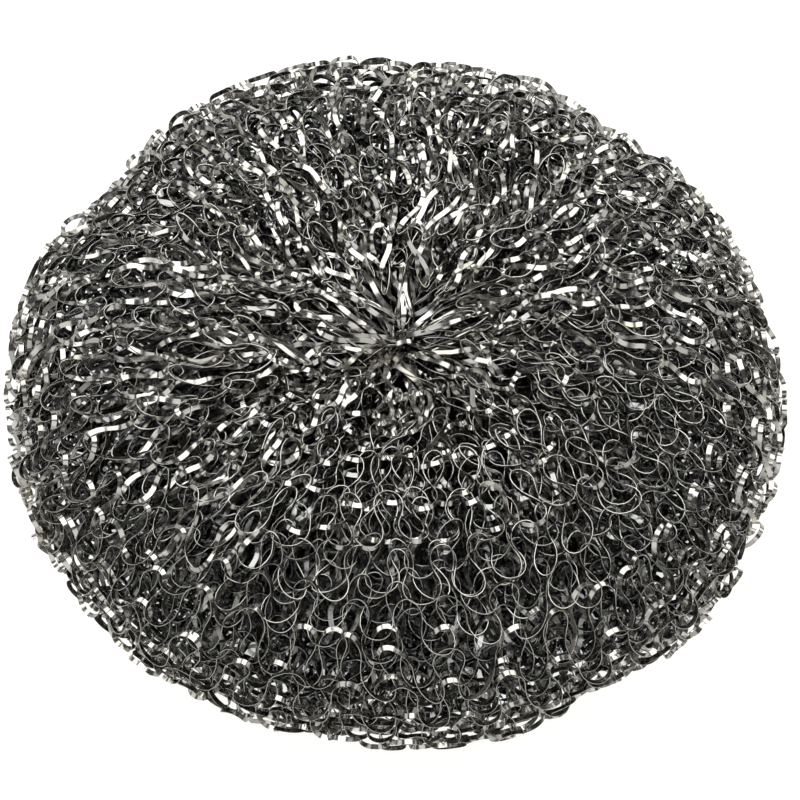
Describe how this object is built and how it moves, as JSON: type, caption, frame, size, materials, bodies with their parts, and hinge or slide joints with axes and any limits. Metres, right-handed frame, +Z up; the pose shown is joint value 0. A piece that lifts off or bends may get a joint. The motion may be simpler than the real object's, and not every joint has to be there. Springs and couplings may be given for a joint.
{
  "type": "metal scourer",
  "caption": "Round cushion-shaped metal scourer, knitted from flat steel ribbon, rolled over itself and gathered at the middle, for scrubbing pans and worktops.",
  "frame": {"origin": "on the table under the middle of the cushion's box", "axes": "+Z up through the gathered middle, away from the table; +X and +Y across the cushion, with +X to the right and -Y towards the viewer of the picture"},
  "size_m": [0.0768, 0.0751, 0.031],
  "materials": {
    "flat_steel_ribbon": "bright rolled flat wire, knitted in open loops, dark between the loops"
  },
  "bodies": {
    "root": {"knitted_cushion": "flat_steel_ribbon"}
  },
  "joints": []
}
